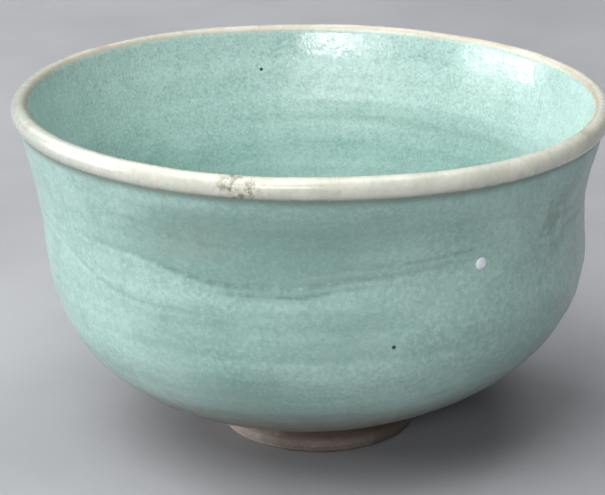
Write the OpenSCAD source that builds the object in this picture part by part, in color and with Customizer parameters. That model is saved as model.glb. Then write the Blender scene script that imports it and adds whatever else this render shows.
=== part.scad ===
// Hand-thrown matcha bowl: clay body on an applied foot ring, with glaze skins and mineral grains.
// Millimetres, +Z up, origin on the table at the middle of the foot ring.

/* [Bowl] */
// Diameter of the mouth, over the widest circle of the lip
mouth_d = 122; // [116:1:128]
// Height of the lip's top above the table
bowl_h = 71.4; // [67:0.2:78]
// Diameter of the belly, where the wall stands upright
belly_d = 111.2; // [106:0.2:113]
// Height at which the belly is upright
belly_h = 43; // [39:0.5:47]
// How far the hip stays full below the belly
hip_drop = 26; // [20:0.5:30]
// How far the underside runs flat out of the foot
base_run = 12.5; // [8:0.5:18]
// Rise of the underside over that flat run
base_rise = 2.9; // [1:0.1:3.5]
// How far the wall stays upright above the belly
neck_rise = 10; // [8:0.5:13]
// Outward lean of the wall where it meets the lip, in degrees
neck_lean = 16; // [8:1:22]

/* [Lip] */
// Thickness of the rolled lip across the wall
lip_w = 3.8; // [3.4:0.1:4.6]
// Height of the rolled lip
lip_h = 4.4; // [3.8:0.1:5.4]
// Angle below level at which the lip's roll meets the outside wall
lip_outer_angle = 70; // [50:1:80]
// Angle above level at which the inside wall runs smoothly into the lip's roll
lip_inner_angle = 18; // [10:1:28]

/* [Inside] */
// Wall thickness at the belly, with both glazes
wall_t = 4.4; // [4:0.1:6]
// Height of the inside floor at the middle
floor_h = 13; // [11.5:0.5:15]
// How far the inside floor runs flat from the middle
floor_run = 30; // [22:1:34]
// How far the inside wall stays upright below the belly
well_drop = 22; // [14:1:24]

/* [Foot] */
// Outside diameter of the foot ring where it stands
foot_d = 40; // [36:1:43]
// Outside diameter of the foot ring where it meets the body
foot_top_d = 39.6; // [35:0.2:43]
// Inside diameter of the foot ring
foot_bore_d = 30.4; // [26:0.2:32]
// Height of the foot ring
foot_h = 6.4; // [5:0.1:8]
// Bevel on the two standing edges of the foot ring
foot_bevel = 0.7; // [0.3:0.1:1]

/* [Glaze] */
// Thickness of the glaze skins
glaze_t = 0.6; // [0.4:0.1:0.8]
// Width of bare clay between the foot ring and the glaze
bare_w = 1.4; // [0.6:0.1:3]

/* [Grains] */
// Diameter of the white grain that shows through the outside glaze
grain_d = 2; // [1.2:0.1:2.6]
// Bearing of the white grain, in degrees round from +X
grain_bearing = -55; // [-180:1:180]
// Height of the white grain
grain_z = 51; // [44:0.5:58]
// Diameter of the iron specks
speck_d = 1; // [0.6:0.1:1.6]
// Bearing of the iron speck outside, in degrees round from +X
outer_speck_bearing = -74.5; // [-180:0.5:180]
// Height of the iron speck outside
outer_speck_z = 37; // [30:0.5:46]
// Bearing of the iron speck inside, in degrees round from +X
inner_speck_bearing = 102; // [-180:1:180]
// Height of the iron speck inside
inner_speck_z = 62; // [50:0.5:64]

/* [Hidden] */

// Facets round the bowl, and straight steps along each stretch of its outline
$fn = 180;
hip_steps = 26;
neck_steps = 12;
lip_steps = 22;

// How far a grain stands proud of the glaze, and how deep it sits in the clay
grain_proud = 0.15;
grain_depth = 0.8;

// Centre and half-axes of the lip's oval section
lip_r = mouth_d / 2 - lip_w / 2;
lip_z = bowl_h - lip_h / 2;

// Point t of the way along a curve with four control points
function bez(p, t) =
    pow(1 - t, 3) * p[0] + 3 * pow(1 - t, 2) * t * p[1] + 3 * (1 - t) * t * t * p[2] + pow(t, 3) * p[3];

// Direction of that curve at t
function bez_dir(p, t) =
    pow(1 - t, 2) * (p[1] - p[0]) + 2 * (1 - t) * t * (p[2] - p[1]) + t * t * (p[3] - p[2]);

// Unit vector to the right of a direction
function right_of(v) = [v[1], -v[0]] / norm(v);

// Points along a curve, set off to its right by d, from t0 to 1
function along(p, d, steps, t0 = 0) =
    [for (i = [0 : steps]) let (t = t0 + (1 - t0) * i / steps) bez(p, t) + d * right_of(bez_dir(p, t))];

// The same without the first point, for a curve that carries on from another
function carry_on(p, d, steps) = [for (i = [1 : steps]) along(p, d, steps)[i]];

// Point on the lip's oval, set in by d, at angle a
function lip_point(a, d) = [lip_r + (lip_w / 2 - d) * cos(a), lip_z + (lip_h / 2 - d) * sin(a)];

// Points over the lip from the outside wall towards the inside wall, set in by d, as far as step last
function lip_arc(d, last) =
    [for (i = [0 : last]) lip_point(-lip_outer_angle + (180 - lip_inner_angle + lip_outer_angle) * i / lip_steps, d)];

function backwards(points) = [for (i = [len(points) - 1 : -1 : 0]) points[i]];

// Outside of the glazed bowl: hip curve from the foot to the belly, then neck curve from the belly to the lip
belly_point = [belly_d / 2, belly_h];
neck_point = lip_point(-lip_outer_angle, 0);
hip_curve = [
    [foot_top_d / 2, foot_h],
    [foot_top_d / 2 + base_run, foot_h + base_rise],
    belly_point - [0, hip_drop],
    belly_point
];
neck_curve = [
    belly_point,
    belly_point + [0, neck_rise],
    neck_point - 12 * [sin(neck_lean), cos(neck_lean)],
    neck_point
];

// Inside of the glazed bowl: floor curve from the middle to the belly, then throat curve from the belly to the lip
inner_belly = [belly_d / 2 - wall_t, belly_h];
throat_point = lip_point(180 - lip_inner_angle, 0);
floor_curve = [
    [0, floor_h],
    [floor_run, floor_h],
    inner_belly - [0, well_drop],
    inner_belly
];
throat_curve = [
    inner_belly,
    inner_belly + [0, neck_rise],
    throat_point - 9 * [sin(neck_lean), cos(neck_lean)],
    throat_point
];

// Share of the hip curve that stays bare next to the foot ring
glaze_start = bare_w / (3 * base_run);

// Clay surfaces under the glazes; the bare stretch of the underside is clay right through.
// The clay's arc over the lip stops a step short, because the inside clay's end point closes it.
clay_outside = concat(along(hip_curve, -glaze_t, hip_steps, glaze_start), carry_on(neck_curve, -glaze_t, neck_steps));
clay_inside = concat(along(floor_curve, glaze_t, hip_steps), carry_on(throat_curve, glaze_t, neck_steps));
clay_throat = clay_inside[len(clay_inside) - 1];
clay_lip = lip_arc(glaze_t, lip_steps - 1);

// Radius of the glazed outside and of the clay inside at a height, read off the wall's own points
outer_wall = concat(along(hip_curve, 0, hip_steps, glaze_start), carry_on(neck_curve, 0, neck_steps));
inner_wall = concat(along(floor_curve, 0, hip_steps), carry_on(throat_curve, 0, neck_steps));
function wall_r(wall, z) = lookup(z, [for (p = wall) [p[1], p[0]]]);

// A round peg on the outside wall: its axis is level and its dome stands proud of the glaze
module outer_peg(d, bearing, z) {
    face_r = wall_r(outer_wall, z);
    base_r = face_r - glaze_t - grain_depth;
    rotate([0, 0, bearing])
        translate([base_r, 0, z])
            rotate([0, 90, 0])
                cylinder(h = face_r - base_r + grain_proud, d = d, $fn = 24);
}

// A round peg on the inside wall, turned the other way
module inner_peg(d, bearing, z) {
    face_r = wall_r(inner_wall, z);
    base_r = face_r + glaze_t + grain_depth;
    rotate([0, 0, bearing])
        translate([face_r - grain_proud, 0, z])
            rotate([0, 90, 0])
                cylinder(h = base_r - face_r + grain_proud, d = d, $fn = 24);
}

module white_grain() {
    color("whitesmoke")
        outer_peg(grain_d, grain_bearing, grain_z);
}

module iron_specks() {
    color([0.18, 0.15, 0.12]) {
        outer_peg(speck_d, outer_speck_bearing, outer_speck_z);
        inner_peg(speck_d, inner_speck_bearing, inner_speck_z);
    }
}

// Thrown wall and floor, with sockets for the grains that burst through it
module clay_body() {
    outline = concat(
        [[0, foot_h], [foot_top_d / 2, foot_h], bez(hip_curve, glaze_start)],
        clay_outside,
        clay_lip,
        backwards(clay_inside)
    );
    color([0.62, 0.54, 0.46])
        difference() {
            rotate_extrude()
                polygon(outline);
            outer_peg(grain_d, grain_bearing, grain_z);
            outer_peg(speck_d, outer_speck_bearing, outer_speck_z);
            inner_peg(speck_d, inner_speck_bearing, inner_speck_z);
        }
}

// Ring of clay luted under the body, bevelled where it stands
module foot_ring() {
    color([0.55, 0.45, 0.38])
        rotate_extrude()
            polygon([
                [foot_bore_d / 2, foot_h],
                [foot_bore_d / 2, foot_bevel],
                [foot_bore_d / 2 + foot_bevel, 0],
                [foot_d / 2 - foot_bevel, 0],
                [foot_d / 2, foot_bevel],
                [foot_top_d / 2, foot_h]
            ]);
}

// Celadon skin on the outside wall, from the bare clay near the foot up to the lip
module outside_glaze() {
    outline = concat(outer_wall, [lip_point(-lip_outer_angle, glaze_t)], backwards(clay_outside));
    color([0.57, 0.72, 0.67])
        difference() {
            rotate_extrude()
                polygon(outline);
            outer_peg(grain_d, grain_bearing, grain_z);
            outer_peg(speck_d, outer_speck_bearing, outer_speck_z);
        }
}

// Celadon skin over the floor and the inside wall
module inside_glaze() {
    outline = concat(inner_wall, backwards(clay_inside));
    color([0.66, 0.8, 0.75])
        difference() {
            rotate_extrude()
                polygon(outline);
            inner_peg(speck_d, inner_speck_bearing, inner_speck_z);
        }
}

// Pale, thinner-looking glaze over the rolled lip
module lip_glaze() {
    color([0.82, 0.79, 0.71])
        rotate_extrude()
            polygon(concat(lip_arc(0, lip_steps), [clay_throat], backwards(clay_lip)));
}

clay_body();
foot_ring();
outside_glaze();
inside_glaze();
lip_glaze();
white_grain();
iron_specks();
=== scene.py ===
"""A celadon matcha bowl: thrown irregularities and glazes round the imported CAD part. Metres, +Z up."""

import math

import bmesh
import bpy
import numpy as np
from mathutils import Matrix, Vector, noise


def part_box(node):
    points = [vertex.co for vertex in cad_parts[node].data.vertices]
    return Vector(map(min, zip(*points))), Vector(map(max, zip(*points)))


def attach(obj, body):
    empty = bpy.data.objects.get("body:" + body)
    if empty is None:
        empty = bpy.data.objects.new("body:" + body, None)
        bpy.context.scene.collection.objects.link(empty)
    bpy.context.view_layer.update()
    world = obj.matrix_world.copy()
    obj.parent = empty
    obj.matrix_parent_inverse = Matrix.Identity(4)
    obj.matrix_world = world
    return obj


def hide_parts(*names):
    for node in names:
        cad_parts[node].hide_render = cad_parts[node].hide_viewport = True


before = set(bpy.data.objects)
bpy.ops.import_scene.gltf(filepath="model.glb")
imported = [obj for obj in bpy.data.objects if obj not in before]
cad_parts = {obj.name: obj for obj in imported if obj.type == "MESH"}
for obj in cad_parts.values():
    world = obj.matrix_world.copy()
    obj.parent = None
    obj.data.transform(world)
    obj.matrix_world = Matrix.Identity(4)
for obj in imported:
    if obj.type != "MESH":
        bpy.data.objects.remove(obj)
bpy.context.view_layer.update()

# Blender's meshes are in metres. Outlines, reliefs and vertex marks are worked out in millimetres.
MM = 0.001
SEGMENTS = 480                  # steps round the bowl
STEP = 0.5                      # spacing of the rings along an outline
FINE_STEP = 0.3                 # the same on the foot and the lip
CLAY_STEP = 1.0                 # the same on the clay, which the glazes cover
CORNER = math.radians(25)       # a sharper turn in an outline than this stays a corner
FEWEST = 8                      # a ring of a revolved CAD node has at least this many corners
PER_MM = 50                     # corners of one ring agree to a fiftieth of a millimetre
SPAN_POINTS = 12                # points worked out along each span of a smooth curve
OUTWARD = (1, -0.35)            # side of the wall that is seen from outside, as radius and height
WALL_R = 25                     # a glaze's face is wall further out than this, and floor further in

LIP_LOW, LIP_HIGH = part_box("lip_glaze")
LIP_BASE = LIP_LOW.z / MM       # height at which the lip meets the wall
RIM = LIP_HIGH.z / MM           # height of the lip's top
MOUTH_R = LIP_HIGH.x / MM       # greatest radius of the lip
# The radius of the lip's highest circle
CREST_R = max((v.co.z, v.co.xy.length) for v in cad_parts["lip_glaze"].data.vertices)[1] / MM


# ---------------------------------------------------------------- outlines read from the CAD part

def section(node):
    """A revolved CAD node's corners (radius, height), in order round its section, and whether they close."""
    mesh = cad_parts[node].data
    co = np.empty(len(mesh.vertices) * 3)
    mesh.vertices.foreach_get("co", co)
    co = co.reshape(-1, 3) / MM
    # The corners of one ring share a key. Edges from ring to ring link their keys, and the outline is the
    # chain of the commonest links.
    keys = [(int(round(math.hypot(x, y) * PER_MM)), int(round(z * PER_MM))) for x, y, z in co]
    count, links = {}, {}
    for k in keys:
        count[k] = count.get(k, 0) + 1
    for edge in mesh.edges:
        a, b = (keys[i] for i in edge.vertices)
        if a != b and all(k[0] == 0 or count[k] >= FEWEST for k in (a, b)):
            for p, q in ((a, b), (b, a)):
                links.setdefault(p, {})
                links[p][q] = links[p].get(q, 0) + 1
    on_axis = [k for k in links if k[0] == 0]
    start = max(on_axis, key=lambda k: k[1]) if on_axis else min(links)
    path = [start]
    while True:
        ahead = {k: n for k, n in links[path[-1]].items() if k not in path}
        if on_axis and path[-1][0] == 0 and len(path) > 1 or not ahead:
            break
        path.append(max(ahead, key=ahead.get))
    return np.array(path, float) / PER_MM, not on_axis


def turn(a, b, c):
    """The angle by which an outline turns at b, on its way from a to c."""
    u, v = b - a, c - b
    return abs(math.atan2(u[0] * v[1] - u[1] * v[0], u @ v))


def smooth_stretch(points, step):
    """A smooth curve through the points (Catmull-Rom), resampled at about that spacing."""
    if len(points) < 3:
        n = max(1, int(round(np.linalg.norm(points[-1] - points[0]) / step)))
        return [points[0] + (points[-1] - points[0]) * i / n for i in range(n + 1)]
    p = np.vstack([2 * points[0] - points[1], points, 2 * points[-1] - points[-2]])
    fine = []
    for i in range(1, len(p) - 2):
        for t in np.linspace(0, 1, SPAN_POINTS, endpoint=False):
            fine.append(0.5 * (2 * p[i] + (p[i + 1] - p[i - 1]) * t
                               + (2 * p[i - 1] - 5 * p[i] + 4 * p[i + 1] - p[i + 2]) * t * t
                               + (3 * p[i] - p[i - 1] - 3 * p[i + 1] + p[i + 2]) * t ** 3))
    fine = np.array(fine + [points[-1]])
    length = np.r_[0, np.cumsum(np.linalg.norm(np.diff(fine, axis=0), axis=1))]
    n = max(2, int(round(length[-1] / step)))
    at = np.linspace(0, length[-1], n + 1)
    return [np.array([np.interp(s, length, fine[:, 0]), np.interp(s, length, fine[:, 1])]) for s in at]


def smooth_outline(node, step=STEP):
    """The node's section with its round stretches smoothed and its corners kept."""
    points, closed = section(node)
    n = len(points)
    if closed:
        sharp = [i for i in range(n) if turn(points[i - 1], points[i], points[(i + 1) % n]) > CORNER]
        points = np.roll(points, -sharp[0], axis=0)
        points = np.vstack([points, points[:1]])
        sharp = [i - sharp[0] for i in sharp] + [n]
    else:
        inner = [i for i in range(1, n - 1) if turn(points[i - 1], points[i], points[i + 1]) > CORNER]
        sharp = [0] + inner + [n - 1]
    out = []
    for a, b in zip(sharp, sharp[1:]):
        out += smooth_stretch(points[a:b + 1], step)[:-1]
    if not closed:
        out.append(points[-1])
    return np.array(out), closed


def outline_normals(points, closed, away=None):
    """The unit normal at each outline point: out of the solid, or on the side that away points to."""
    ahead = np.roll(points, -1, axis=0) if closed else np.vstack([points[1:], points[-1:]])
    behind = np.roll(points, 1, axis=0) if closed else np.vstack([points[:1], points[:-1]])
    t = ahead - behind
    n = np.stack([t[:, 1], -t[:, 0]], axis=1) / np.linalg.norm(t, axis=1, keepdims=True)
    if away is None:
        following = np.roll(points, -1, axis=0)
        area = (points[:, 0] * following[:, 1] - following[:, 0] * points[:, 1]).sum()
        n *= 1 if area > 0 else -1
    else:
        n *= np.where(n @ np.array(away) < 0, -1, 1)[:, None]
    return n


# ---------------------------------------------------------------- what the potter's hands did

# Lengths here are millimetres and bearings are degrees round from +X; spreads and phases are radians.
# A pair says where something starts to come in or fade out, and where it has done so.

FINE_RING = 0.50                # climb of the fine turning rings, for each radian of their wave
WIDE_RING = 1.25                # the same for the wide ones
ABOVE_FOOT = (9, 20)            # heights at which the outside's irregularities come in, and fade out
BELOW_LIP = (LIP_BASE - 6, LIP_BASE - 1)
FLOOR_EDGE = (15, 24)           # heights at which the inside floor turns into the wall
LIP_INSIDE = (LIP_BASE - 6, LIP_BASE)
OUT_OF_ROUND = [(0.20, 2, 0.6), (0.10, 3, 2.0)]                 # depth, lobes and phase
RIM_WAVE = [(0.10, 3, 0.4), (0.07, 5, 2.0)]
LIP_LUMPS = [(0.06, 4, 1), (0.05, 9, 2), (0.03, 23, 0)]

LEDGE_AT = 52.4                 # height of the ledge under the waist, at the left
LEDGE_STEPS = [                 # its steps up or down, and the bearings between which they happen
    (-3.3, -130, -106),
    (1.8, -95, -80),
    (1.1, -80, -50),
    (-0.6, 0, 60),
    (1.0, 80, 150),
]
LEDGE_FRONT = -104              # bearing at which the ledge is boldest
RIGHT_FOLD = -0.6               # bearing, in radians, at which it is bolder again
STEP_BACK = 0.25                # how far the wall steps back above the ledge
STEP_ENDS = (55, 66)            # heights between which it comes forward again
SWELL = 0.13                    # how far it stands out below the ledge
GROOVE = 0.17                   # depth of the groove between the two
SECOND_GROOVE = 0.12            # depth of another groove
SECOND_BELOW = 1.5              # how far that one lies below the ledge
SECOND_BEARING = -93
GROOVE_WIDTH = 0.45
SHORT_LINES = [                 # darkness, height over the ledge, width, bearing and spread
    (0.75, -SECOND_BELOW, 0.40, SECOND_BEARING, 0.26),
    (0.6, 2.4, 0.35, -68, 0.30),
    (0.4, 7.5, 0.40, -118, 0.25),
]
SPIRAL_TOP = 51.3               # height of the faint groove at the left
SPIRAL_DROP = 8.5               # how far it comes down on its way to the front
SPIRAL_DEPTH = 0.13
HIP_AT = 31.5                   # height of the fullest ring left on the hip
HIP_RELIEF = 0.20
HOLLOW_AT = 48                  # height of the hollow pressed into the inside
HOLLOW_DEPTH = 0.20

FOOT_SHIFT = 0.4                # the foot's standing face sits this far along X from the axis
BELLY_SHIFT = -1.1              # and the wall above the belly this far
HIP_TILT = 0.032                # rise of the hip for each millimetre along X
LIP_TILT_X = -0.009             # rise of the lip for each millimetre along X
LIP_TILT_Y = -0.022             # the same along Y
ANKLE = (0, 9)                  # heights at which the foot's shift fades and the hip's tilt comes in
BELLY = (36, 56)                # heights at which the belly's shift comes in
LEVEL = (12, 42)                # heights at which the hip's tilt fades, by that share
LEVELLED = 0.85

NECK_DEPTH = 0.85               # how far the foot is turned in below the body
NECK = ((2.6, 3.9), (6.0, 6.39))                # heights of that neck
FOOT_SWELL = 0.35               # how far the foot stands out below it
RECESS_TOP = 7                  # the recess inside the foot lies below this height
RECESS_SPIRAL = ((0.5, 2), (11, 14.5))          # radii of the trimming spiral in it


def ease(x, low, high):
    """0 below low, 1 above high, smooth between."""
    t = np.clip((x - low) / (high - low), 0, 1)
    return t * t * (3 - 2 * t)


def between(x, start, end):
    """0, then 1 once the start pair is passed, and 0 again once the end pair is passed."""
    return ease(x, *start) * (1 - ease(x, *end))


def hump(x, at, width):
    """1 at a place, falling smoothly to 0 on both sides."""
    return np.exp(-((x - at) / width) ** 2)


def facing(phi, bearing, spread):
    """A hump round the bowl: 1 at a bearing in degrees."""
    return hump(phi, math.radians(bearing), spread)


def lobes(phi, waves, wave=np.sin):
    """The sum of waves round the bowl, each with its depth, its number of lobes and its phase."""
    return sum(depth * wave(count * phi + phase) for depth, count, phase in waves)


def ledge_height(phi):
    """Height of the ledge under the waist, which wanders a little round the bowl."""
    height = LEDGE_AT
    for rise, first, last in LEDGE_STEPS:
        height = height + rise * ease(phi, math.radians(first), math.radians(last))
    return height


def dark_lines(z, phi):
    """1 in the fine lines where the outside glaze gathered along the ledge, 0 elsewhere."""
    ledge = ledge_height(phi)
    lines = hump(z, ledge + 0.1, 0.52) * (0.15 + 0.85 * facing(phi, -102, 0.52))
    for darkness, above, width, bearing, spread in SHORT_LINES:
        lines += darkness * hump(z, ledge + above, width) * facing(phi, bearing, spread)
    return np.clip(lines, 0, 1)


def ledge_relief(z, phi):
    """The wall swells below the ledge and steps back above it, with a groove between; boldest front left."""
    ledge = ledge_height(phi)
    bold = 0.22 + 0.78 * facing(phi, LEDGE_FRONT, 0.60) + 0.35 * hump(phi, RIGHT_FOLD, 0.4)
    step_back = STEP_BACK * between(z, (ledge - 0.7, ledge + 1.1), STEP_ENDS) * bold
    swell = SWELL * hump(z, ledge - 3.2, 3.0) * bold
    groove = GROOVE * hump(z, ledge + 0.3, GROOVE_WIDTH) * (0.4 + 0.6 * bold)
    second = SECOND_GROOVE * hump(z, ledge - SECOND_BELOW, GROOVE_WIDTH) * facing(phi, SECOND_BEARING, 0.28)
    return swell - step_back - groove - second


def spiral_relief(z, phi):
    """The faint groove at the left, which comes down on its way round to the front."""
    along = np.mod(phi + math.pi, 2 * math.pi)
    height = SPIRAL_TOP - SPIRAL_DROP * ease(along, 0.25, 0.95)
    return -SPIRAL_DEPTH * hump(z, height, 0.5) * between(along, (0.12, 0.35), (0.95, 1.4))


def outside_relief(z, phi):
    """How far the outside stands out of the CAD surface: rings, ledge, spiral, turned hip, out of round."""
    rings = 0.022 * np.sin(z / FINE_RING + phi + 0.8 * np.sin(2 * phi))
    rings += 0.035 * np.sin(z / WIDE_RING - phi + 1.1)
    hip = HIP_RELIEF * hump(z, HIP_AT + np.sin(3 * phi + 0.5), 2.2) * (0.5 + 0.5 * np.cos(phi + 0.8))
    dents = 0.05 * np.sin(7 * phi + z / 5) + 0.04 * np.sin(11 * phi - z / 3.3 + 1)
    relief = rings + ledge_relief(z, phi) + spiral_relief(z, phi) + hip + dents
    return (relief + lobes(phi, OUT_OF_ROUND, np.cos)) * between(z, ABOVE_FOOT, BELOW_LIP)


def inside_relief(z, phi):
    """The same for the inside: soft finger rings that climb the wall, and a hollow below the waist."""
    rings = 0.045 * np.sin(z / WIDE_RING + phi + 0.6 * np.sin(phi + 1))
    rings += 0.02 * np.sin(z / FINE_RING - phi)
    hollow = hump(z, HOLLOW_AT + 2.5 * np.sin(phi - 0.6), 3.4) * (0.55 + 0.45 * np.sin(2 * phi + 0.4))
    return (rings - HOLLOW_DEPTH * hollow) * between(z, FLOOR_EDGE, LIP_INSIDE)


def lean(x, y, z, phi):
    """The bowl's crooked stance: belly, hip and lip sit a little off the axis and off level."""
    shift = FOOT_SHIFT * (1 - ease(z, *ANKLE)) + BELLY_SHIFT * ease(z, *BELLY)
    tilt_x = HIP_TILT * ease(z, *ANKLE) * (1 - LEVELLED * ease(z, *LEVEL)) + LIP_TILT_X * ease(z, 45, RIM)
    tilt_y = LIP_TILT_Y * ease(z, 40, RIM)
    wave = lobes(phi, RIM_WAVE) * ease(z, 55, RIM)
    return x + shift, y, z + tilt_x * x + tilt_y * y + wave


# A skin gives the relief of one piece, at a place (r, z) on its outline and an angle phi round the bowl.
# The outline faces (nr, nz) there.

def outer_skin(r, z, nr, nz, phi):
    """The outside glaze has the outside's relief all through."""
    return outside_relief(z, phi)


def inner_skin(r, z, nr, nz, phi):
    """The inside wall's rings, and a shallow spiral the finger left on the floor."""
    spiral = 0.07 * np.sin(r / 1.15 + phi) * ease(r, 3, 9)
    return inside_relief(z, phi) + spiral * (1 - ease(z, *FLOOR_EDGE))


def clay_skin(r, z, nr, nz, phi):
    """The clay follows the glaze that lies on it; the foot's recess keeps the trimming tool's spiral."""
    outer = nr * OUTWARD[0] + nz * OUTWARD[1] > 0
    relief = np.where(outer, outside_relief(z, phi), inside_relief(z, phi))
    in_recess = (z < RECESS_TOP) * between(r, *RECESS_SPIRAL)
    return relief + in_recess * (0.22 * np.sin(r / 0.42 + phi) + 0.10 * np.sin(r / 0.2 - phi))


def foot_skin(r, z, nr, nz, phi):
    """The foot swells below a narrow turned neck; turning marks, an oval bore and a worn standing face."""
    outer_side = FOOT_SWELL * hump(z, 1.9, 1.0) - NECK_DEPTH * between(z, *NECK)
    marks = 0.05 * np.sin(z / 0.17 + phi) + 0.12 * np.cos(2 * phi + 1) + 0.06 * np.sin(7 * phi)
    marks = marks * np.abs(nr) * between(z, (0.4, 1.2), (5.4, 6.3))
    worn = -0.05 * (nz < -0.5) * (1 + np.sin(9 * phi + 4 * np.sin(3 * phi)))
    return marks + worn + outer_side * ease(nr, 0.2, 0.8)


def lip_skin(r, z, nr, nz, phi):
    """The lip's glaze is a little thicker here and thinner there, but not at its joints with the wall."""
    body = ease(z, LIP_BASE + 1.5, LIP_BASE + 3) * ease(r, CREST_R - 1.5, CREST_R - 0.3)
    return body * lobes(phi, LIP_LUMPS)


# ---------------------------------------------------------------- meshes

def ring_faces(rings):
    """The faces between each ring of vertex numbers and the next; triangles where a ring is one point."""
    faces = []
    for low, high in zip(rings, rings[1:]):
        for j in range(SEGMENTS):
            k = (j + 1) % SEGMENTS
            faces.append(list(dict.fromkeys([low[j], low[k], high[k], high[j]])))
    return faces


def spin(name, node, skin, away=None, step=STEP):
    """A closed mesh: the CAD node's section spun round the axis, with its skin's relief and the stance."""
    outline, closed = smooth_outline(node, step)
    normal = outline_normals(outline, closed, away)
    phi = np.linspace(-math.pi, math.pi, SEGMENTS, endpoint=False)[None, :]
    whole = np.ones((len(outline), SEGMENTS))
    r, z = outline[:, 0:1], outline[:, 1:2]
    nr, nz = normal[:, 0:1], normal[:, 1:2]
    relief = skin(r, z, nr, nz, phi) * whole
    rr, zz = r + nr * relief, z + nz * relief
    places = np.stack(lean(rr * np.cos(phi), rr * np.sin(phi), zz, phi), axis=-1) * MM
    grids = {"height": z * whole, "across": r * whole, "relief": relief, "lines": dark_lines(z, phi) * whole}
    marks = {mark: [] for mark in grids}
    poles = set() if closed else {0, len(outline) - 1}
    verts, rings = [], []
    for i in range(len(outline)):
        n = 1 if i in poles else SEGMENTS
        rings.append([len(verts)] * SEGMENTS if n == 1 else list(range(len(verts), len(verts) + n)))
        verts.extend([places[i].mean(axis=0)] if n == 1 else places[i])
        for mark, grid in grids.items():
            marks[mark].extend(grid[i][:n])
    if closed:
        rings.append(rings[0])
    return closed_mesh(name, verts, ring_faces(rings), marks)


def closed_mesh(name, verts, faces, marks):
    """A smooth-shaded object with its normals outward and one number per vertex for each mark."""
    mesh = bpy.data.meshes.new(name)
    mesh.from_pydata([tuple(v) for v in verts], [], faces)
    for mark, values in marks.items():
        mesh.attributes.new(mark, "FLOAT", "POINT").data.foreach_set("value", np.array(values, np.float32))
    bm = bmesh.new()
    bm.from_mesh(mesh)
    bmesh.ops.recalc_face_normals(bm, faces=bm.faces)
    bm.to_mesh(mesh)
    bm.free()
    mesh.polygons.foreach_set("use_smooth", [True] * len(mesh.polygons))
    mesh.set_sharp_from_angle(angle=CORNER)
    mesh.update()
    piece = bpy.data.objects.new(name, mesh)
    bpy.context.scene.collection.objects.link(piece)
    return piece


def lumps(name, parts, size, squash, seed):
    """Small irregular beads, one at each place, flattened along the way out of the wall there."""
    verts, faces = [], []
    for number, (centre, out) in enumerate(parts):
        bm = bmesh.new()
        bmesh.ops.create_icosphere(bm, subdivisions=4, radius=1)
        side = Vector((0, 0, 1)).cross(out).normalized()
        up = out.cross(side)
        first = len(verts)
        for v in bm.verts:
            ripple = 1 + 0.14 * noise.noise(v.co * 1.3 + Vector((seed, number * 7, 0)))
            ripple += 0.03 * noise.noise(v.co * 4 + Vector((0, seed, number)))
            p = v.co * ripple * size * MM / 2
            verts.append(centre + out * p.x * squash + side * p.y + up * p.z)
        faces += [[first + v.index for v in f.verts] for f in bm.faces]
        bm.free()
    return closed_mesh(name, verts, faces, {"height": [0.0] * len(verts)})


def pegs(node, apart=10 * MM):
    """The middle of each separate peg of a CAD node."""
    groups = []
    for p in [v.co.copy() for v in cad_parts[node].data.vertices]:
        near = [g for g in groups if (g[0] - p).length < apart]
        if near:
            near[0].append(p)
        else:
            groups.append([p])
    return [sum(g, Vector()) / len(g) for g in groups]


def wall_radius(skin, z):
    """The radius of a glaze's visible face at a height."""
    points, closed = smooth_outline(skin)
    outward = outline_normals(points, closed) @ np.array(OUTWARD)
    shown = outward > 0 if skin == "outside_glaze" else outward < 0
    face = points[shown & (points[:, 0] > WALL_R)]
    face = face[np.argsort(face[:, 1])]
    return float(np.interp(z, face[:, 1], face[:, 0]))


def on_wall(middle, proud):
    """The place on the leaning wall of a peg, set that far proud of it, and the way out of the wall."""
    phi = math.atan2(middle.y, middle.x)
    z = middle.z / MM
    outside, inside = wall_radius("outside_glaze", z), wall_radius("inside_glaze", z)
    if middle.xy.length / MM > (outside + inside) / 2:
        sign = 1
        r = outside + outside_relief(z, phi) + proud
    else:
        sign = -1
        r = inside - inside_relief(z, phi) - proud
    centre = Vector([float(v) * MM for v in lean(r * math.cos(phi), r * math.sin(phi), z, phi)])
    return centre, Vector((math.cos(phi), math.sin(phi), 0)) * sign


# ---------------------------------------------------------------- node building

def add(tree, kind, values=None, **settings):
    """A shader node with its settings, and its inputs set or linked."""
    made = tree.nodes.new("ShaderNode" + kind)
    for key, value in settings.items():
        setattr(made, key, value)
    for key, value in (values or {}).items():
        if isinstance(value, bpy.types.NodeSocket):
            tree.links.new(value, made.inputs[key])
        else:
            made.inputs[key].default_value = value
    return made


def times(tree, a, b):
    """a times b, numbers or sockets."""
    return add(tree, "Math", {0: a, 1: b}, operation="MULTIPLY").outputs[0]


def plus(tree, a, b):
    """a plus b, numbers or sockets."""
    return add(tree, "Math", {0: a, 1: b}, operation="ADD").outputs[0]


def mix(tree, factor, first, second):
    """Colour first where the factor is 0, second where it is 1."""
    return add(tree, "Mix", {0: factor, 6: first, 7: second}, data_type="RGBA").outputs[2]


def tint(tree, colour, where, amount, shade):
    """The colour with that much of a shade in it where the mask is 1."""
    return mix(tree, times(tree, where, amount), colour, shade)


def band(tree, value, low, high):
    """Runs from 0 at low to 1 at high, smoothly, also where low is above high."""
    values = {"Value": value, "From Min": low, "From Max": high, "To Min": 0.0, "To Max": 1.0}
    return add(tree, "MapRange", values, interpolation_type="SMOOTHSTEP").outputs[0]


def cloud(tree, size, detail=3.0, rough=0.5, seed=0.0, stretch=(1, 1, 1)):
    """Noise whose features are about that many millimetres across."""
    where = add(tree, "TexCoord").outputs["Object"]
    shift = (seed, seed * 0.7, seed * 1.3)
    place = add(tree, "Mapping", {"Vector": where, "Location": shift, "Scale": stretch})
    values = {"Vector": place.outputs[0], "Scale": 1 / (size * MM), "Detail": detail, "Roughness": rough}
    return add(tree, "TexNoise", values).outputs["Fac"]


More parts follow.
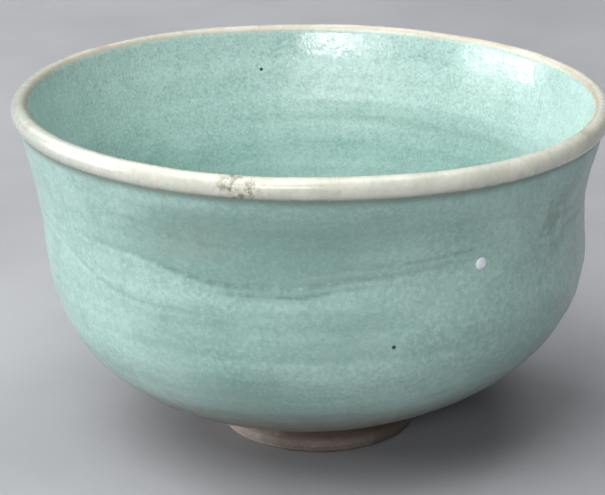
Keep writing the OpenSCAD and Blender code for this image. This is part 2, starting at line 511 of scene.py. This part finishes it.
def dots(tree, size, low, high, seed=0.0):
    """1 inside scattered dots whose cells are that many millimetres across, 0 outside."""
    where = add(tree, "TexCoord").outputs["Object"]
    place = add(tree, "Mapping", {"Vector": where, "Location": (seed, seed, seed)})
    values = {"Vector": place.outputs[0], "Scale": 1 / (size * MM), "Randomness": 1.0}
    cells = add(tree, "TexVoronoi", values)
    return band(tree, cells.outputs["Distance"], high, low)


def mark(tree, name):
    """A number that the mesh holds for each vertex."""
    return add(tree, "Attribute", attribute_name=name).outputs["Fac"]


def ragged(tree, name, size, reach, seed=0.0):
    """A vertex mark shifted up and down by noise, so that bands drawn on it have a ragged edge."""
    shift = times(tree, plus(tree, cloud(tree, size, 4, 0.6, seed), -0.5), 2 * reach)
    return plus(tree, mark(tree, name), shift)


UNEVEN = 0.9                    # raggedness of a stain's edge, as a share of the width of that edge


def near_point(tree, point, inner, outer):
    """1 within inner millimetres of a point, 0 beyond outer, ragged between."""
    where = add(tree, "TexCoord").outputs["Object"]
    away = add(tree, "VectorMath", {0: where, 1: point}, operation="DISTANCE").outputs["Value"]
    width = (outer - inner) * MM
    uneven = times(tree, cloud(tree, 1.4, seed=0.3), width * UNEVEN)
    return band(tree, plus(tree, away, uneven), outer * MM + width * UNEVEN / 2, inner * MM)


def material(name, tree_of, coat=0.0, coat_rough=0.1, ior=1.5):
    """A Principled material; tree_of gives its colour, roughness and bump height in millimetres."""
    made = bpy.data.materials.new(name)
    made.use_nodes = True
    tree = made.node_tree
    shader = tree.nodes["Principled BSDF"]
    colour, rough, bump = tree_of(tree)
    tree.links.new(colour, shader.inputs["Base Color"])
    tree.links.new(rough, shader.inputs["Roughness"])
    height = add(tree, "Bump", {"Height": bump, "Strength": 1.0, "Distance": MM})
    tree.links.new(height.outputs["Normal"], shader.inputs["Normal"])
    shader.inputs["Coat Weight"].default_value = coat
    shader.inputs["Coat Roughness"].default_value = coat_rough
    shader.inputs["IOR"].default_value = ior
    return made


# ---------------------------------------------------------------- celadon

PALE = (0.44, 0.655, 0.595, 1)
MID = (0.335, 0.535, 0.485, 1)
DEEP = (0.215, 0.385, 0.342, 1)
POOLED = (0.13, 0.255, 0.22, 1)
PALE_GRIT = (0.55, 0.76, 0.70, 1)
OUTSIDE = (MID, PALE)
INSIDE = ((0.42, 0.585, 0.545, 1), (0.52, 0.69, 0.65, 1))
OLIVE = (0.155, 0.15, 0.095, 1)
# painted shade on the front of the waist
WAIST_SHADE_GREEN = (0.22, 0.345, 0.31, 1)
# painted shade under the rim
RIM_SHADE_GREEN = (0.20, 0.32, 0.285, 1)
# painted shade on the right of the hip
HIP_SHADE_GREEN = (0.19, 0.32, 0.285, 1)
# painted shade in the fold at the right
FOLD_SHADE_GREEN = (0.165, 0.26, 0.215, 1)
LINE_GREEN = (0.125, 0.20, 0.165, 1)
LEDGE_BROWN = (0.30, 0.29, 0.21, 1)
DULL_GREEN = (0.22, 0.28, 0.25, 1)
THIN_BROWN = (0.165, 0.15, 0.125, 1)
HALO = (0.50, 0.62, 0.60, 1)

# Heights, in millimetres, at which a tone or a painted shade sets in and at which it is full
WAIST_LOW = (52.5, 55)
WAIST_HIGH = (LIP_BASE, 60)
UNDER_RIM = (56.5, 61)
DULL = (31, 17)
THIN = (22.5, 13.5)
WELL = (54, 34)

GRAIN_AT = on_wall(pegs("white_grain")[0], 0)[0]
LEDGE_STAIN = Vector((-24, -50, 54)) * MM
# middle of the painted shade on the waist and under the rim
WAIST_SHADE_FRONT = Vector((4, -56, 58)) * MM
# middle of the painted shade on the right of the hip
HIP_SHADE_AT = Vector((42, -36, 16)) * MM
# middle of the painted shade in the fold
FOLD_AT = Vector((47, -30, 55)) * MM


def celadon(tree, grit, coarse, groove, tones):
    """Celadon glaze: cloudy between two tones, with pale and dark grit of that strength and that size in
    millimetres, and deeper by the groove amount where the relief sinks and the glaze pooled."""
    colour = mix(tree, band(tree, cloud(tree, 26, 3, 0.55), 0.32, 0.68), *tones)
    patches = band(tree, cloud(tree, 7, 4, 0.6, 0.2), 0.46, 0.74)
    colour = tint(tree, colour, patches, 0.36, DEEP)
    smudges = band(tree, cloud(tree, 3.0, 4, 0.65, 0.35, (1, 1, 0.6)), 0.50, 0.70)
    colour = tint(tree, colour, smudges, 0.36 * grit, DEEP)
    pale = band(tree, cloud(tree, coarse, 3, 0.7, 0.4), 0.44, 0.62)
    colour = tint(tree, colour, pale, 0.70 * grit, PALE_GRIT)
    dark = band(tree, cloud(tree, coarse * 1.1, 4, 0.75, 0.6), 0.45, 0.66)
    colour = tint(tree, colour, dark, 0.48 * grit, DEEP)
    colour = tint(tree, colour, dots(tree, 1.4, 0.10, 0.25, 0.5), 0.25 * grit, POOLED)
    pooled = band(tree, mark(tree, "relief"), 0.02, -0.40)
    return tint(tree, colour, pooled, groove, POOLED)


def satin(tree):
    """Roughness and relief of a satin glaze: orange-peel skin and a few pinholes."""
    rough = band(tree, cloud(tree, 3, 3, 0.6, 0.7), -0.9, 2.2)
    skin = times(tree, cloud(tree, 1.1, 3, 0.6, 0.15), 0.06)
    pits = times(tree, dots(tree, 1.9, 0.06, 0.14, 0.25), -0.04)
    return rough, plus(tree, skin, pits)


def under_the_lip(tree, colour):
    """Darker below the lip, partly pooled glaze and partly painted shade cast by the lip, ending in an olive
    line.
    """
    # painted shade cast by the lip, mixed with pooled glaze
    rim = band(tree, ragged(tree, "height", 6, 0.9), LIP_BASE - 2.2, LIP_BASE - 0.3)
    colour = tint(tree, colour, rim, 0.50, POOLED)
    line = band(tree, ragged(tree, "height", 5, 0.5, 0.3), LIP_BASE - 1.3, LIP_BASE - 0.1)
    return tint(tree, colour, line, 0.50, OLIVE)


def waist_shade_and_tones(tree, colour):
    """The front of the waist: painted shade, deepest towards the lip whose shade falls there, and brownish
    glaze above the ledge at the left.
    """
    height = ragged(tree, "height", 8, 1.0, 0.65)
    front = near_point(tree, WAIST_SHADE_FRONT, 24, 56)
    waist = times(tree, band(tree, height, *WAIST_LOW), band(tree, mark(tree, "height"), *WAIST_HIGH))
    waist = times(tree, waist, front)
    # painted shade on the front of the waist, deepest towards the lip
    colour = tint(tree, colour, waist, 0.12, WAIST_SHADE_GREEN)
    upper = band(tree, ragged(tree, "height", 7, 1.2, 0.15), *UNDER_RIM)
    # painted shade under the rim at the front, where the lip's shade falls
    colour = tint(tree, colour, times(tree, upper, front), 0.30, RIM_SHADE_GREEN)
    brownish = times(tree, near_point(tree, LEDGE_STAIN, 3, 17), waist)
    return tint(tree, colour, brownish, 0.30, LEDGE_BROWN)


def hip_tones(tree, colour):
    """Dull glaze low on the hip, turning thin and brown towards the foot."""
    dull = band(tree, ragged(tree, "height", 6, 2.0, 0.75), *DULL)
    colour = tint(tree, colour, dull, 0.48, DULL_GREEN)
    thin = band(tree, ragged(tree, "height", 3, 1.8, 0.9), *THIN)
    return tint(tree, colour, thin, 0.90, THIN_BROWN)


def outside_celadon(tree):
    """The outside: its tones from lip to foot, painted shade below the lip, on the front of the waist, on
    the lower right of the hip and where the ledge turns up at the right, the ledge's lines, and a halo round
    the white grain.
    """
    colour = celadon(tree, 0.66, 1.0, 0.45, OUTSIDE)
    colour = under_the_lip(tree, colour)
    colour = waist_shade_and_tones(tree, colour)
    broken = times(tree, mark(tree, "lines"), band(tree, cloud(tree, 2.2, 4, 0.7, 0.85), 0.30, 0.62))
    colour = tint(tree, colour, broken, 0.72, LINE_GREEN)
    # painted shade on the lower right of the hip, the side turned from the lamps
    colour = tint(tree, colour, near_point(tree, HIP_SHADE_AT, 12, 38), 0.82, HIP_SHADE_GREEN)
    # painted shade in the soft fold at the right, broken into clouds
    clouded = band(tree, cloud(tree, 5, 3, 0.6, 0.5, (1, 1, 1.6)), 0.40, 0.62)
    fold_shade = times(tree, near_point(tree, FOLD_AT, 2, 15), clouded)
    colour = tint(tree, colour, fold_shade, 0.78, FOLD_SHADE_GREEN)
    colour = hip_tones(tree, colour)
    colour = tint(tree, colour, near_point(tree, GRAIN_AT, 1.0, 2.0), 0.55, HALO)
    return colour, *satin(tree)


def inside_celadon(tree):
    """The inside: the same glaze, grittier and wavier, deeper in the well and glossy just below the lip."""
    colour = celadon(tree, 1.0, 0.62, 0.45, INSIDE)
    well = band(tree, ragged(tree, "height", 12, 3, 0.9), *WELL)
    colour = tint(tree, colour, well, 0.38, DEEP)
    rough, relief = satin(tree)
    gloss = band(tree, ragged(tree, "height", 5, 1.6, 0.35), LIP_BASE - 3.4, LIP_BASE - 1.9)
    rough = times(tree, rough, plus(tree, times(tree, gloss, -0.56), 1.0))
    waves = times(tree, cloud(tree, 7, 3, 0.55, 0.45), 0.32)
    return colour, rough, plus(tree, relief, waves)


# ---------------------------------------------------------------- lip

CREAM = (0.74, 0.735, 0.65, 1)
BUFF = (0.63, 0.64, 0.54, 1)
# painted shade for the lip at the left
LIP_LEFT_SHADE = (0.46, 0.50, 0.44, 1)
FLECK = (0.52, 0.50, 0.40, 1)
TAN = (0.40, 0.29, 0.17, 1)
AMBER = (0.44, 0.29, 0.15, 1)
LOWER_GREEN = (0.42, 0.45, 0.36, 1)
IRON_BROWN = (0.155, 0.115, 0.052, 1)

STAIN_BEARING = math.radians(-103.5)
STAIN_R = MOUTH_R - 0.5
STAIN_AT = Vector((math.cos(STAIN_BEARING) * STAIN_R, math.sin(STAIN_BEARING) * STAIN_R, RIM - 1.0)) * MM
# middle of the painted shade on the lip
LIP_SHADE_AT = Vector((-57, -16, 70)) * MM


def lip_tones(tree, colour):
    """Flecks and faint iron stains all round the lip, painted shade that greys it at the left, amber inside
    the crest.
    """
    # painted shade that greys the lip at the left
    colour = tint(tree, colour, near_point(tree, LIP_SHADE_AT, 20, 62), 0.85, LIP_LEFT_SHADE)
    flecks = band(tree, cloud(tree, 1.2, 3, 0.6, 0.2), 0.5, 0.66)
    colour = tint(tree, colour, flecks, 0.22, FLECK)
    stains = band(tree, cloud(tree, 11, 5, 0.7, 0.55), 0.60, 0.70)
    colour = tint(tree, colour, stains, 0.30, TAN)
    edge = band(tree, ragged(tree, "across", 9, 0.5, 0.1), CREST_R - 0.5, CREST_R - 1.2)
    return tint(tree, colour, edge, 0.45, AMBER)


def lip_lower_edge(tree, colour):
    """On the outer side of the crest the glaze is greenish low down and ends in an olive line."""
    outer = band(tree, mark(tree, "across"), CREST_R + 0.5, CREST_R + 0.9)
    low = band(tree, ragged(tree, "height", 3, 0.5, 0.8), LIP_BASE + 1.3, LIP_BASE + 0.2)
    colour = tint(tree, colour, times(tree, low, outer), 0.65, LOWER_GREEN)
    line = band(tree, ragged(tree, "height", 4, 0.35, 0.5), LIP_BASE + 0.7, LIP_BASE)
    return tint(tree, colour, times(tree, line, outer), 0.60, OLIVE)


def lip_glaze(tree):
    """Thin pale glaze on the lip: cream, green where it turns in, with one dark iron stain at the front."""
    colour = mix(tree, band(tree, cloud(tree, 7, 4, 0.6), 0.35, 0.65), CREAM, BUFF)
    colour = lip_tones(tree, colour)
    green = band(tree, ragged(tree, "across", 4, 0.35, 0.3), CREST_R - 1.30, CREST_R - 1.82)
    colour = mix(tree, green, colour, celadon(tree, 1.0, 0.62, 0, INSIDE))
    colour = lip_lower_edge(tree, colour)
    smear = band(tree, cloud(tree, 1.9, 4, 0.75, 0.7), 0.45, 0.60)
    stain = times(tree, near_point(tree, STAIN_AT, 2.5, 7), smear)
    colour = tint(tree, colour, stain, 0.85, IRON_BROWN)
    rough = band(tree, cloud(tree, 3, 3, 0.6, 0.7), -0.5, 2.6)
    return colour, rough, times(tree, cloud(tree, 2.4, 2, 0.5), 0.05)


# ---------------------------------------------------------------- clay, grains and table

CLAY = (0.215, 0.178, 0.157, 1)
PALE_CLAY = (0.305, 0.26, 0.23, 1)
DARK_SAND = (0.12, 0.09, 0.07, 1)
PALE_SAND = (0.42, 0.38, 0.31, 1)
RUST = (0.24, 0.15, 0.12, 1)
# dark clay with painted shade, for the foot's joint with the body
JOINT_SHADE_BROWN = (0.075, 0.055, 0.046, 1)
# painted shade on the foot's right
FOOT_SHADE_CLAY = (0.10, 0.078, 0.066, 1)
# painted light on the foot's left
FOOT_LIGHT = (0.56, 0.48, 0.43, 1)
FELDSPAR = ((0.88, 0.96, 1.0, 1), (0.80, 0.90, 0.96, 1))
IRON = ((0.035, 0.042, 0.050, 1), (0.07, 0.07, 0.07, 1))
TABLE = ((0.345, 0.35, 0.37, 1), (0.40, 0.405, 0.425, 1))

REDDER = (1.6, 3.2)             # heights at which the foot turns redder
JOINT = (2.6, 3.7)              # and dark, with painted shade, towards its joint with the body
# middle of the painted shade on the foot's right
FOOT_SHADE_AT = Vector((16, -13, 3)) * MM
# middle of the painted light on the foot's left
FOOT_LIGHT_AT = Vector((-17, -10, 2)) * MM


def bare_clay(tree, reddish):
    """Unglazed stoneware: grey-brown and sandy, redder towards the glaze and dark there with painted shade;
    the foot has a painted highlight streak at its left and painted shade on its right side."""
    colour = mix(tree, band(tree, cloud(tree, 8, 4, 0.6), 0.35, 0.68), CLAY, PALE_CLAY)
    sand = band(tree, cloud(tree, 0.5, 3, 0.7, 0.2), 0.5, 0.68)
    colour = tint(tree, colour, sand, 0.5, DARK_SAND)
    colour = tint(tree, colour, dots(tree, 1.2, 0.08, 0.2, 0.4), 0.7, PALE_SAND)
    blotches = band(tree, cloud(tree, 5, 3, 0.6, 0.6), 0.25, 0.6)
    upper = times(tree, band(tree, mark(tree, "height"), *REDDER), blotches)
    colour = tint(tree, colour, upper, reddish, RUST)
    # dark clay and painted shade under the body, where the foot meets it
    joint_shade = band(tree, ragged(tree, "height", 3, 0.3, 0.2), *JOINT)
    colour = tint(tree, colour, joint_shade, 0.78, JOINT_SHADE_BROWN)
    # painted shade on the foot's right side
    colour = tint(tree, colour, near_point(tree, FOOT_SHADE_AT, 5, 18), 0.66, FOOT_SHADE_CLAY)
    # painted highlight: a pale streak where light falls on the foot's left
    colour = tint(tree, colour, near_point(tree, FOOT_LIGHT_AT, 4, 15), 0.85, FOOT_LIGHT)
    rough = band(tree, cloud(tree, 1.2, 2, 0.5, 0.1), -3.0, 1.0)
    return colour, rough, times(tree, cloud(tree, 0.55, 4, 0.75), 0.22)


def grain(tree):
    """A lump of white feldspar burst through the glaze."""
    colour = mix(tree, band(tree, cloud(tree, 0.8, 3), 0.4, 0.7), *FELDSPAR)
    return colour, band(tree, cloud(tree, 0.6), -0.8, 2.2), times(tree, cloud(tree, 0.35, 3), 0.12)


def iron(tree):
    """A speck of melted iron, near black."""
    colour = mix(tree, band(tree, cloud(tree, 0.5, 3), 0.4, 0.7), *IRON)
    return colour, band(tree, cloud(tree, 0.5), -0.8, 2.2), times(tree, cloud(tree, 0.3, 3), 0.10)


def table_top(tree):
    """A plain pale grey surface with faint clouds."""
    colour = mix(tree, band(tree, cloud(tree, 90, 4, 0.55), 0.3, 0.7), *TABLE)
    return colour, band(tree, cloud(tree, 20, 3), -2.2, 1.4), times(tree, cloud(tree, 2, 3), 0.05)


# ---------------------------------------------------------------- the pieces

GRAIN_SIZE = 2.45
GRAIN_PROUD = 0.15
SPECK_SIZE = 0.8
SPECK_PROUD = 0.02


def place(piece, node, slot, look):
    """Gives a piece its look, its body and the CAD node it replaces, which it hides; the slot is not used.
    """
    piece.data.materials.append(look)
    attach(piece, "root")
    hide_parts(node)


look = material("stoneware", lambda tree: bare_clay(tree, 0.75))
place(spin("bowl_clay", "clay_body", clay_skin, step=CLAY_STEP), "clay_body", "clay", look)

look = material("foot_stoneware", lambda tree: bare_clay(tree, 0.9))
place(spin("turned_foot", "foot_ring", foot_skin, step=FINE_STEP), "foot_ring", "foot_clay", look)

look = material("celadon_outside", outside_celadon, coat=0.35, coat_rough=0.16)
piece = spin("celadon_outside", "outside_glaze", outer_skin, away=OUTWARD)
place(piece, "outside_glaze", "celadon_outside", look)

look = material("celadon_inside", inside_celadon, coat=0.25, coat_rough=0.28, ior=1.65)
piece = spin("celadon_inside", "inside_glaze", inner_skin, away=(-OUTWARD[0], -OUTWARD[1]))
place(piece, "inside_glaze", "celadon_inside", look)

look = material("pale_lip", lip_glaze, coat=0.6, coat_rough=0.32)
place(spin("pale_lip", "lip_glaze", lip_skin, step=FINE_STEP), "lip_glaze", "lip_glaze", look)

look = material("feldspar", grain, coat=0.4, coat_rough=0.12)
spots = [on_wall(middle, GRAIN_PROUD) for middle in pegs("white_grain")]
place(lumps("feldspar_grain", spots, GRAIN_SIZE, squash=0.22, seed=3), "white_grain", "white_grain", look)

look = material("iron_speck", iron, coat=0.4, coat_rough=0.12)
spots = [on_wall(middle, SPECK_PROUD) for middle in pegs("iron_specks")]
place(lumps("iron_spots", spots, SPECK_SIZE, squash=0.40, seed=8), "iron_specks", "iron_speck", look)


# ---------------------------------------------------------------- floor, light and camera

TABLE_HALF = 2                  # metres from the middle of the table to its edge
LAMP_DISTANCE = 1.3             # metres from a lamp to the bowl
LAMPS = [                       # name, bearing from +X, elevation, width, height, power in watts
    ("window_left", 163, 30, 1.5, 0.6, 5.0),
    ("sky_front", -124, 56, 0.9, 0.9, 10.6),
    ("sky_back", 145, 52, 0.8, 0.8, 5.4),
    ("sky_top", 0, 82, 1.0, 1.0, 7.0),
    ("low_left", 176, 6, 0.8, 0.2, 4.0),
    ("pane_front", -99, 20.5, 0.44, 0.14, 3.8),
    ("pane_beside", -117, 20.5, 0.34, 0.13, 0.9),
    ("pane_left", -171, 12.5, 0.34, 0.13, 1.2),
    ("pane_back", 170, 8, 0.42, 0.13, 1.0),
]
LAMPS_AIM = Vector((0, 0, 0.035))
ROOM = (0.75, 0.80, 0.85, 1)
ROOM_STRENGTH = 0.08
EYE = Vector((0, -0.5091, 0.2225))
EYE_AIM = Vector((-0.0029, 0, 0.0379))
SENSOR = 36                     # width of the camera's sensor and its focal length, in millimetres
LENS = 154.7


def aimed(name, data, at, aim):
    """A lamp or camera at a place, looking at another."""
    made = bpy.data.objects.new(name, data)
    made.location = at
    made.rotation_euler = (aim - at).to_track_quat("-Z", "Y").to_euler()
    bpy.context.scene.collection.objects.link(made)
    return made


def lamp(name, bearing, elevation, wide, high, power):
    """A soft rectangular lamp that looks at the bowl."""
    light = bpy.data.lights.new(name, "AREA")
    light.shape = "RECTANGLE"
    light.size = wide
    light.size_y = high
    light.energy = power
    a, e = math.radians(bearing), math.radians(elevation)
    towards = Vector((math.cos(a) * math.cos(e), math.sin(a) * math.cos(e), math.sin(e)))
    aimed(name, light, LAMPS_AIM + towards * LAMP_DISTANCE, LAMPS_AIM)


floor_mesh = bpy.data.meshes.new("floor")
corners = [(x * TABLE_HALF, y * TABLE_HALF, 0) for x, y in ((-1, -1), (1, -1), (1, 1), (-1, 1))]
floor_mesh.from_pydata(corners, [], [(0, 1, 2, 3)])
floor_mesh.materials.append(material("table_top", table_top))
floor = bpy.data.objects.new("floor", floor_mesh)
bpy.context.scene.collection.objects.link(floor)

for values in LAMPS:
    lamp(*values)

world = bpy.data.worlds.new("room")
world.use_nodes = True
world.node_tree.nodes["Background"].inputs["Color"].default_value = ROOM
world.node_tree.nodes["Background"].inputs["Strength"].default_value = ROOM_STRENGTH
bpy.context.scene.world = world

eye = bpy.data.cameras.new("camera")
eye.sensor_width = SENSOR
eye.lens = LENS
bpy.context.scene.camera = aimed("camera", eye, EYE, EYE_AIM)
bpy.context.scene.view_settings.view_transform = "Standard"
